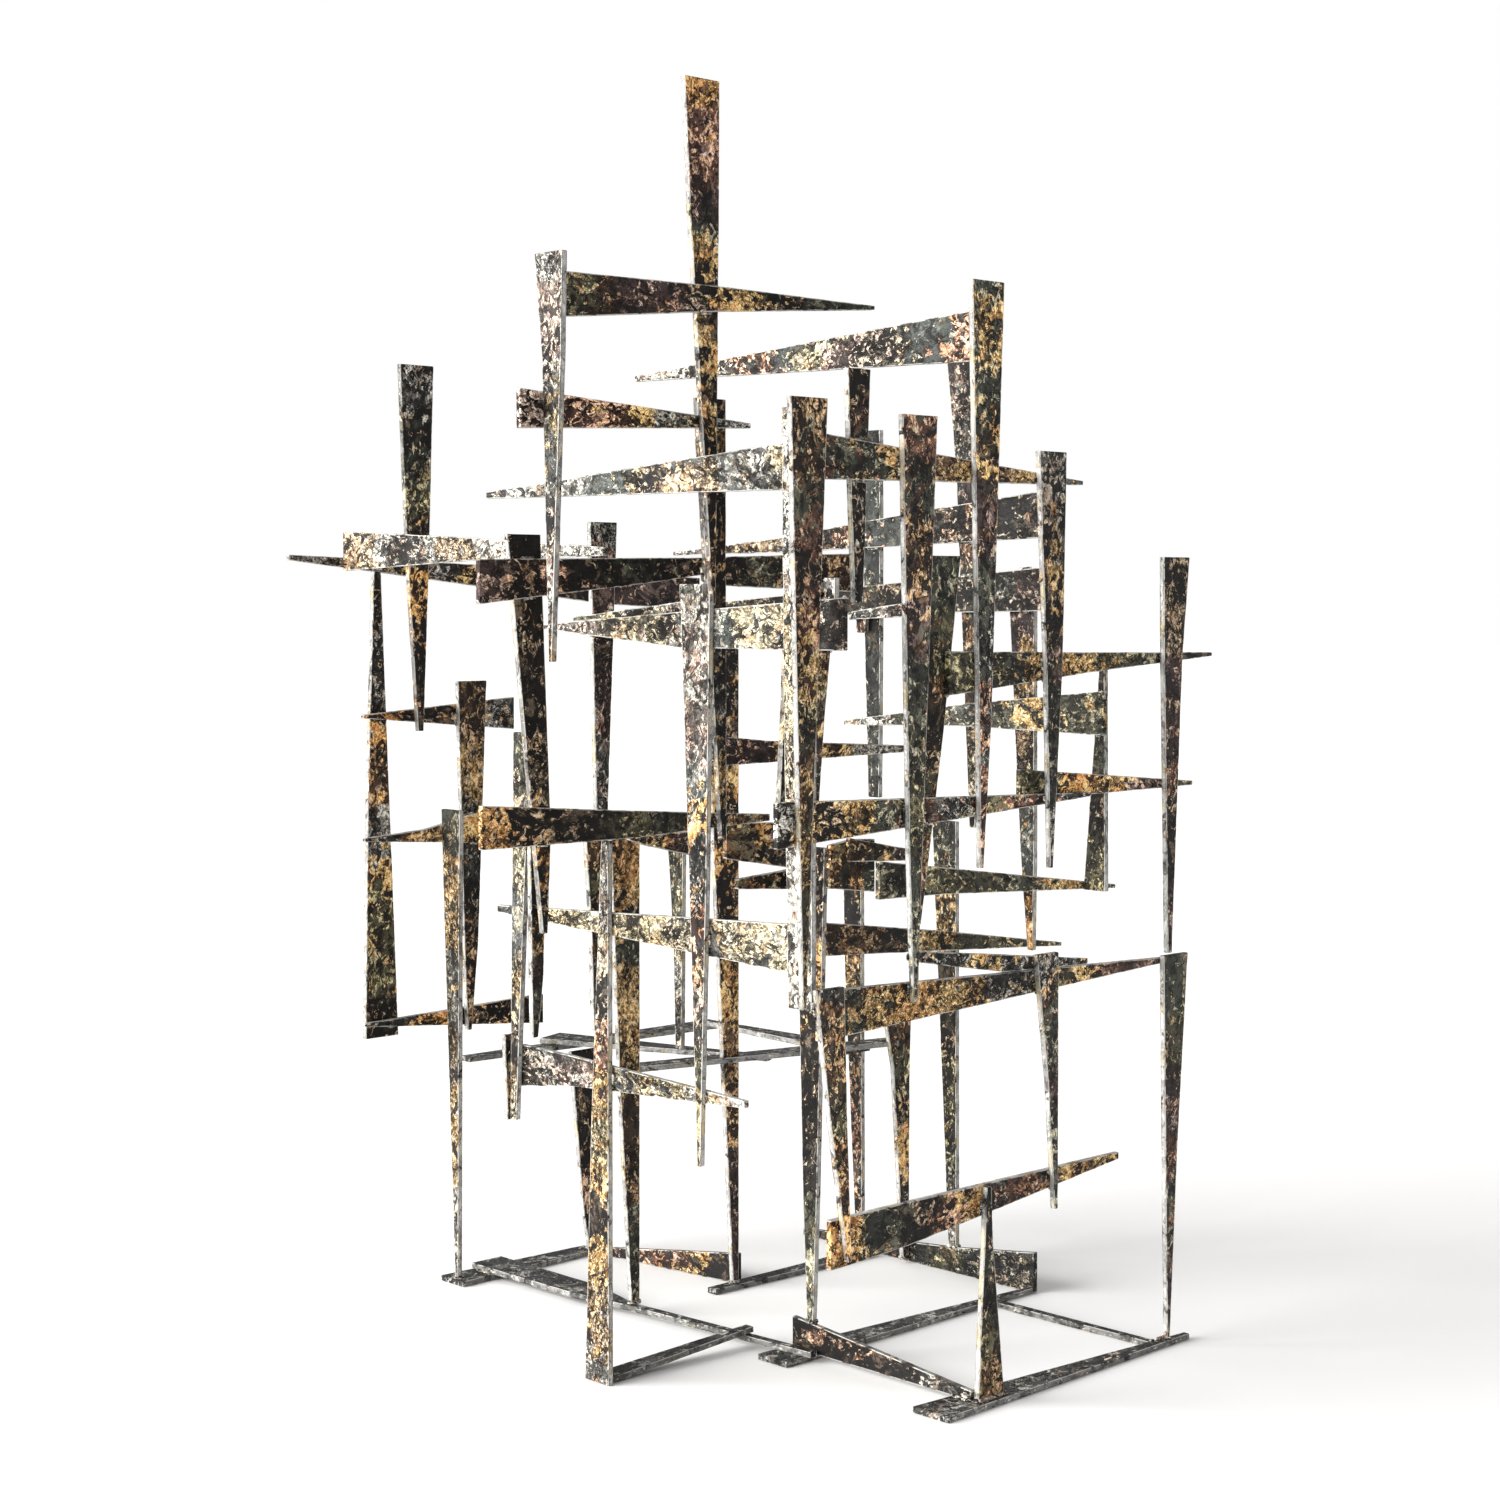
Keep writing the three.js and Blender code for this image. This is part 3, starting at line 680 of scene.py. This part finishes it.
X, Y, Z = Vector((1, 0, 0)), Vector((0, 1, 0)), Vector((0, 0, 1))
SLOPE_NODE, SKEW_NODE = "floor_bar_sloping", "floor_edge_bar_rear"
flats = {}  # name: (at, along, across, through, stations)
for node in sorted(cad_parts):
    if node in (SLOPE_NODE, SKEW_NODE):
        continue
    co = np.array([v.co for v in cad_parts[node].data.vertices]) * 1000
    size = co.max(0) - co.min(0)
    thin = int(np.argmin(np.abs(size - STOCK)))
    low = float(co[:, thin].min())
    others = [a for a in range(3) if a != thin]
    face = co[np.abs(co[:, thin] - low) < 0.02][:, others]
    face = np.unique(np.round(face, 2), axis=0)
    long_axis = int(np.argmax([face[:, 0].max() - face[:, 0].min(), face[:, 1].max() - face[:, 1].min()]))
    rows = stations_of(face, long_axis)
    if rows is None:
        rows = stations_of(face, 1 - long_axis)
        long_axis = 1 - long_axis
    axes = (X, Y, Z)
    along, across, through = axes[others[long_axis]], axes[others[1 - long_axis]], axes[thin]
    at = through * low
    flats[node] = (at, along, across, through, rows)

slope_at = M(23.1, 259.5, 0) * 1000
slope_dir = Vector((math.cos(math.radians(4.1)), 0, math.sin(math.radians(4.1))))
flats[SLOPE_NODE] = (slope_at, slope_dir, Y, slope_dir.cross(Y), [(0, -10.5, 10.5), (159.5, -12.75, -3.25)])
skew_at = M(306.3, 396.7, 0) * 1000
turn = math.radians(7.3)
skew_dir = Vector((-math.sin(turn), math.cos(turn), 0))
flats[SKEW_NODE] = (skew_at, skew_dir, Z, skew_dir.cross(Z), [(0, 0, 29.2), (159.4, 0, 9)])

for node in sorted(flats):
    mesh, info = make_flat(node + "_flat", *flats[node])
    ob = dress(node, mesh, info, flats[node][1], flats[node][3])
    ob.name = node + "_flat"
    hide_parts(node)

# ------------------------------------------------------------------ the smaller flats inside the lattice
# name: (which way it faces, "up" or "level", plane, stations of [distance, middle, width])
INNER = {
    "right_thin_bar": ("front", "level", 10.6, [[250, 490.5, 25.5], [479, 481, 4]]),
    "blade_beside_mast": ("front", "up", 15.9, [[489, 23, 8], [546, 23.5, 17], [603, 26.5, 24.5]]),
    "prop_behind_mast": ("front", "up", 52.1, [[484.9, 29.7, 17.4], [544.5, 31.7, 12.9], [603.2, 33.2, 9.9]]),
    "inner_bar_3": ("front", "level", 35.2, [[112.6, 422.5, 29.9], [186.2, 416.6, 21.6], [405.1, 395.5, 3.4]]),
    "inner_bar_5": ("front", "level", 5.3, [[120.3, 365.9, 8.7], [225.1, 350.3, 14.2], [330.8, 341.6, 5.1]]),
    "middle_rear_bar": ("front", "level", 157.9, [[52, 659, 19], [70, 660.5, 23.5], [218, 660.5, 32]]),
    "middle_thin_bar": ("front", "level", 157.9, [[62, 519, 23.5], [115, 516.5, 17.5], [274, 512.5, 6]]),
    "inner_bar_4": ("front", "level", 197.1, [[193.4, 354.0, 30.4], [367.1, 336.5, 18.0], [532.8, 318.1, 3.5]]),
    "inner_bar_7": ("front", "level", 157.5, [[206.8, 431.1, 20.1], [286.1, 421.1, 9.6]]),
    "inner_bar_6": ("front", "level", 162.9, [[189.2, 417.6, 36.3], [216.0, 417.6, 43.0], [242.7, 415.2, 44.9]]),
    "inner_bar_8": ("front", "level", 251.8, [[47.6, 444.8, 3.5], [66.5, 441.3, 8.5], [124.3, 435.3, 22.4]]),
    "inner_bar_1": ("front", "level", 251.8, [[155.3, 435.3, 30.4], [229.9, 427.1, 39.8]]),
    "inner_bar_2": ("front", "level", 202.0, [[121.4, 405.5, 8.5], [253.8, 404.6, 26.8]]),
    "inner_sliver_blade": ("front", "up", 279.2, [[285.6, 35.8, 8.4], [366.6, 35.3, 11.8], [447.5, 32.8, 18.3]]),
    "left_dark_blade": ("front", "up", 335, [[275, 15.5, 6], [325, 18, 12.5], [473, 20, 19]]),
    "inner_right_leg": ("front", "up", 340, [[5.3, 476, 8.3], [193, 469, 23], [255, 463.5, 39]]),
    "small_left_blade": ("front", "up", 372.9, [[200.3, 17.6, 4.4], [272.3, 20.5, 15.1]]),
    "rear_left_prop": ("front", "up", 577, [[5.3, 284.5, 13], [51, 281, 22.5], [201.7, 276.2, 41]]),
    "thin_rear_bar": ("side", "level", 28.1, [[150, 633, 11.5], [300, 622.5, 3.5]]),
    "right_small_bar": ("side", "level", 350.4, [[195, 632.5, 15.5], [298.8, 623.6, 7.2]]),
    "right_small_end": ("side", "up", 355.7, [[608.5, 288, 11.5], [624, 288, 12]]),
    "mast_tab": ("side", "up", 28.1, [[628, 11, 18], [654.3, 11, 18.5]]),
    "left_tab": ("side", "up", 33.4, [[607, 163, 26], [650.5, 163.2, 27.5]]),
    "inner_thin_blade": ("side", "up", 300, [[213, 472.5, 8.5], [314, 473, 12.5], [414, 476.5, 22.5]]),
    "rear_blade_3": ("side", "up", 361.0, [[339, 92.5, 6], [418, 96, 15], [657, 105, 29]]),
    "rear_blade_1": ("side", "up", 361.0, [[460, 276.5, 13.5], [625, 279, 20], [790, 281, 22]]),
    "rear_blade_2": ("side", "up", 361.0, [[440, 158.5, 7], [755, 164.5, 30], [860, 170, 44.5]]),
    "rear_inner_leg": ("side", "up", 476, [[0, 403, 8], [273, 412, 22.5], [366, 413.5, 24.5]]),
    "rear_right_leg": ("side", "up", 481, [[25.5, 285.5, 10], [430, 298.5, 30.5]]),
}
# Flat bars at mid height: name, start, end, height of the underside, widths at start and end.
MIDDLE = {
    "middle_flat_left": ((150, 607), (462, 590), 202, 14, 30),
    "middle_flat_cross": ((340, 389.5), (262, 618), 207.3, 10, 38),
    "middle_flat_rear": ((196, 418.7), (467, 350), 212.6, 22, 22),
    "middle_flat_right": ((435, 585), (429, 361), 207.3, 8, 36),
}
for name, (facing, way, plane, rows) in INNER.items():
    stations = [(s, m - w / 2, m + w / 2) for s, m, w in rows]
    level = way == "level"
    if facing == "front":
        at = M(0, plane, 0) * 1000
        along, across, through = (X, Z, Y) if level else (Z, X, Y)
    else:
        at = M(plane, 0, 0) * 1000
        along, across, through = (Y, Z, X) if level else (Z, Y, X)
    flats[name] = (at, along, across, through, stations)
for name, (start, end, height, w0, w1) in MIDDLE.items():
    at = M(*start, height) * 1000
    run = M(*end, height) * 1000 - at
    along = run.normalized()
    flats[name] = (at, along, Z.cross(along), Z, [(0, -w0 / 2, w0 / 2), (run.length, -w1 / 2, w1 / 2)])
for name in [*INNER, *MIDDLE]:
    mesh, info = make_flat(name, *flats[name])
    ob = dress(name, mesh, info, flats[name][1], flats[name][3])

# ------------------------------------------------------------------ weld beads
BEAD_SIDES = 10


def edges(stations, s):
    """The low and high edge of a flat at distance s, or None beyond its ends."""
    for (a0, lo0, hi0), (a1, lo1, hi1) in zip(stations, stations[1:]):
        if a0 <= s <= a1:
            f = (s - a0) / (a1 - a0)
            return lo0 + (lo1 - lo0) * f, hi0 + (hi1 - hi0) * f
    return None


def shifted(at, along, across, stations):
    """The stations with their distances counted from the part's origin."""
    ds, da = at.dot(along), at.dot(across)
    return [(s + ds, lo + da, hi + da) for s, lo, hi in stations]


def crossings():
    """Pairs of an upright and a level flat that lie face to face: (upright flat, level flat, which lattice they are in,
    their stations, their planes, level distance, height).
    """
    square = []
    for name, (at, along, across, through, stations) in flats.items():
        if abs(through.z) > 0.5 or max(abs(through.x), abs(through.y)) < 0.999 or max(abs(v) for v in along) < 0.999:
            continue
        square.append((name, 0 if abs(through.x) > 0.5 else 1, along.z > 0.5, shifted(at, along, across, stations), at.dot(through)))
    for name_u, facing_u, up_u, st_u, plane_u in square:
        for name_l, facing_l, up_l, st_l, plane_l in square:
            if not up_u or up_l or facing_u != facing_l:
                continue
            if abs(abs(plane_u - plane_l) - LAYER) > 0.45:
                continue
            level = (st_l[0][0] + st_l[-1][0]) / 2
            for _ in range(6):
                e = edges(st_l, level)
                if e is None:
                    break
                height = (e[0] + e[1]) / 2
                height = min(max(height, st_u[0][0]), st_u[-1][0])
                f = edges(st_u, height)
                level = min(max((f[0] + f[1]) / 2, st_l[0][0]), st_l[-1][0])
            e, f = edges(st_l, level), edges(st_u, height)
            if e is None or f is None or not (e[0] < height + 3 and height - 3 < e[1] and f[0] < level + 3 and level - 3 < f[1]):
                continue
            yield name_u, name_l, facing_u, st_u, st_l, plane_u, plane_l, level, height


def place(facing, plane, level, height):
    return Vector((plane, level, height)) if facing == 0 else Vector((level, plane, height))


lines = []  # start, end, radius, in millimetres of the part's frame
for name_u, name_l, facing, st_u, st_l, plane_u, plane_l, level, height in crossings():
    pick = sum(ord(c) * (i + 1) for i, c in enumerate(name_u + name_l))
    lo_z, hi_z = edges(st_l, level)
    lo_z, hi_z = max(lo_z, st_u[0][0]), min(hi_z, st_u[-1][0])
    lo_x, hi_x = edges(st_u, height)
    lo_x, hi_x = max(lo_x, st_l[0][0]), min(hi_x, st_l[-1][0])
    # the upright's two edges, on the level flat's face, and the level flat's two edges, on the upright's face
    seat_u = plane_l - 0.5 if plane_u < plane_l else plane_l + STOCK + 0.5
    seat_l = plane_u - 0.5 if plane_l < plane_u else plane_u + STOCK + 0.5
    tall, wide = hi_z - lo_z, hi_x - lo_x
    if tall > 4:
        run = min(tall * 0.55, 13.0)
        for side, offset in ((0, -0.5), (1, 0.5)):
            if (pick + side) % 3 == 0:
                continue
            mid = lo_z + tall * (0.32 + 0.36 * ((pick * (side + 3)) % 7) / 6)
            z0, z1 = max(lo_z + 0.8, mid - run / 2), min(hi_z - 0.8, mid + run / 2)
            if z1 - z0 > 2.5:
                x0, x1 = edges(st_u, z0)[side] + offset, edges(st_u, z1)[side] + offset
                lines.append((place(facing, seat_u, x0, z0), place(facing, seat_u, x1, z1), 1.25))
    if wide > 4:
        run = min(wide * 0.6, 13.0)
        for side, offset in ((0, -0.5), (1, 0.5)):
            if (pick + side) % 4 == 1:
                continue
            mid = lo_x + wide * (0.32 + 0.36 * ((pick * (side + 2)) % 5) / 4)
            x0, x1 = max(lo_x + 0.8, mid - run / 2), min(hi_x - 0.8, mid + run / 2)
            if x1 - x0 > 2.5:
                z0, z1 = edges(st_l, x0)[side] + offset, edges(st_l, x1)[side] + offset
                lines.append((place(facing, seat_l, x0, z0), place(facing, seat_l, x1, z1), 1.25))
# round the feet of the legs
for name, (at, along, across, through, stations) in flats.items():
    foot = shifted(at, along, across, stations)[0]
    if along.z < 0.999 or not 4.0 < foot[0] < 40.0:
        continue
    plane = at.dot(through)
    for seat in (plane - 0.4, plane + STOCK + 0.4):
        lines.append((through * seat + across * (foot[1] - 0.4) + Z * (foot[0] + 0.2), through * seat + across * (foot[2] + 0.4) + Z * (foot[0] + 0.2), 2.1))
    for side in (foot[1] - 0.4, foot[2] + 0.4):
        lines.append((through * (plane - 0.2) + across * side + Z * (foot[0] + 0.2), through * (plane + STOCK + 0.2) + across * side + Z * (foot[0] + 0.2), 2.1))
# where the floor bars meet: start, end, radius, in the drawing frame
for start, end, radius in (
    ((420.6, 8.0, 4.4), (428.4, 8.0, 4.4), 1.9),
    ((430.5, 6.6, 5.4), (437.0, 5.6, 5.6), 2.0),
    ((420.2, 184.5, 4.2), (429.0, 184.5, 4.2), 1.9),
    ((480.8, 186.2, 2.4), (480.8, 191.0, 3.8), 1.9),
    ((171.0, 247.6, 10.4), (170.6, 255.6, 10.4), 1.5),
    ((172.6, 256.6, 11.0), (180.4, 256.0, 11.2), 1.5),
    ((150.9, 573.0, 5.2), (150.9, 592.0, 5.2), 1.6),
    ((186.3, 572.0, 5.2), (186.4, 590.0, 5.2), 1.6),
    ((187.8, 9.0, 5.3), (187.8, 25.0, 5.3), 1.6),
    ((193.3, 9.0, 5.3), (193.3, 25.0, 5.3), 1.6),
    ((187.8, 184.0, 5.3), (187.8, 203.0, 5.3), 1.6),
    ((193.3, 184.0, 5.3), (193.3, 203.0, 5.3), 1.6),
    ((23.0, 251.5, 4.6), (23.0, 267.0, 4.6), 1.7),
    ((181.0, 183.0, 5.2), (177.0, 199.0, 5.2), 1.5),
):
    lines.append((M(*start) * 1000, M(*end) * 1000, radius))

verts, faces = [], []
for k, (start, end, radius) in enumerate(lines):
    run = end - start
    length = run.length
    along = run.normalized()
    side = along.orthogonal().normalized()
    other = along.cross(side)
    rings = max(7, int(length / 0.62))
    base = len(verts)
    verts.append(start - along * radius * 0.55)
    for i in range(rings + 1):
        f = i / rings
        dome = math.sqrt(max(0.0, 1 - max(0.0, abs(2 * f - 1) * length / 2 - (length / 2 - radius)) ** 2 / radius**2)) if length > 2 * radius else math.sin(math.pi * (0.12 + 0.76 * f))
        ripple = 0.80 + 0.20 * abs(math.sin(math.pi * f * length / 1.9 + k))
        size = radius * ripple * max(dome, 0.45)
        drift = noise.noise(Vector((f * length * 0.3, k * 1.7, 0.4))) * 0.35
        middle = start + run * f + side * drift
        for j in range(BEAD_SIDES):
            a = 2 * math.pi * j / BEAD_SIDES
            grow = 1 + noise.noise(Vector((f * length * 0.7, math.cos(a) * 1.3 + k, math.sin(a) * 1.3))) * 0.16
            verts.append(middle + (side * math.cos(a) + other * math.sin(a)) * size * grow)
    verts.append(end + along * radius * 0.55)
    first, last = base, len(verts) - 1
    for j in range(BEAD_SIDES):
        nxt = (j + 1) % BEAD_SIDES
        faces.append((first, base + 1 + nxt, base + 1 + j))
        for i in range(rings):
            a = base + 1 + i * BEAD_SIDES
            faces.append((a + j, a + nxt, a + BEAD_SIDES + nxt, a + BEAD_SIDES + j))
        a = base + 1 + rings * BEAD_SIDES
        faces.append((last, a + j, a + nxt))
lo_box, hi_box = Vector(cad_lo) * 1000, Vector(cad_hi) * 1000
inside = [Vector([min(max(v[i], lo_box[i] + 0.02), hi_box[i] - 0.02) for i in range(3)]) for v in verts]
welds = bpy.data.meshes.new("weld_beads")
welds.from_pydata([v * 0.001 for v in inside], [], faces)
welds.update()
info = [(0.0, 0.0, 0.5, v.x + v.z, v.y, v.z, 0.0) for v in inside]
dress("weld_beads", welds, info, Z, Y)
